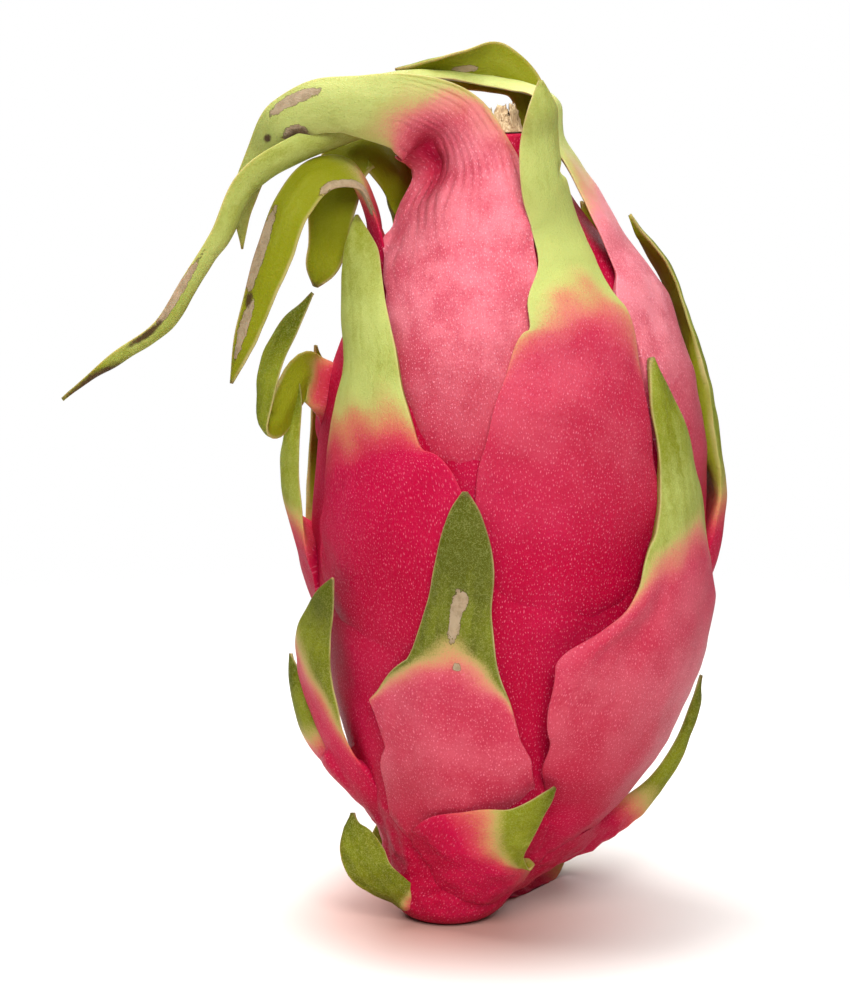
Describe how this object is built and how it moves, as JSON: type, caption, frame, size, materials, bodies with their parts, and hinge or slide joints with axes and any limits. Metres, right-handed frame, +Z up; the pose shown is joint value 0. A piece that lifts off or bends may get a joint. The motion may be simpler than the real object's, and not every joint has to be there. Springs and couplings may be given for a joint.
{
  "type": "dragon fruit",
  "caption": "Whole ripe dragon fruit standing on its stem end: plump pink rind, long green-tipped scales that bend over at the crown, and a dry flower stub on top.",
  "frame": {"origin": "centre of the small flat spot at the stem end, on the surface that the fruit rests on", "axes": "+Z up along the fruit's height, +X to the right as seen from the front, +Y to the back"},
  "size_m": [0.1306, 0.0867, 0.1711],
  "materials": {
    "rind": "smooth waxy skin with a soft sheen; scales go from pink through yellow to velvety green",
    "dry_flower": "dry, brown, matte and papery"
  },
  "bodies": {
    "root": {"dragon_fruit": "rind", "flower_remnant": "dry_flower"}
  },
  "joints": []
}
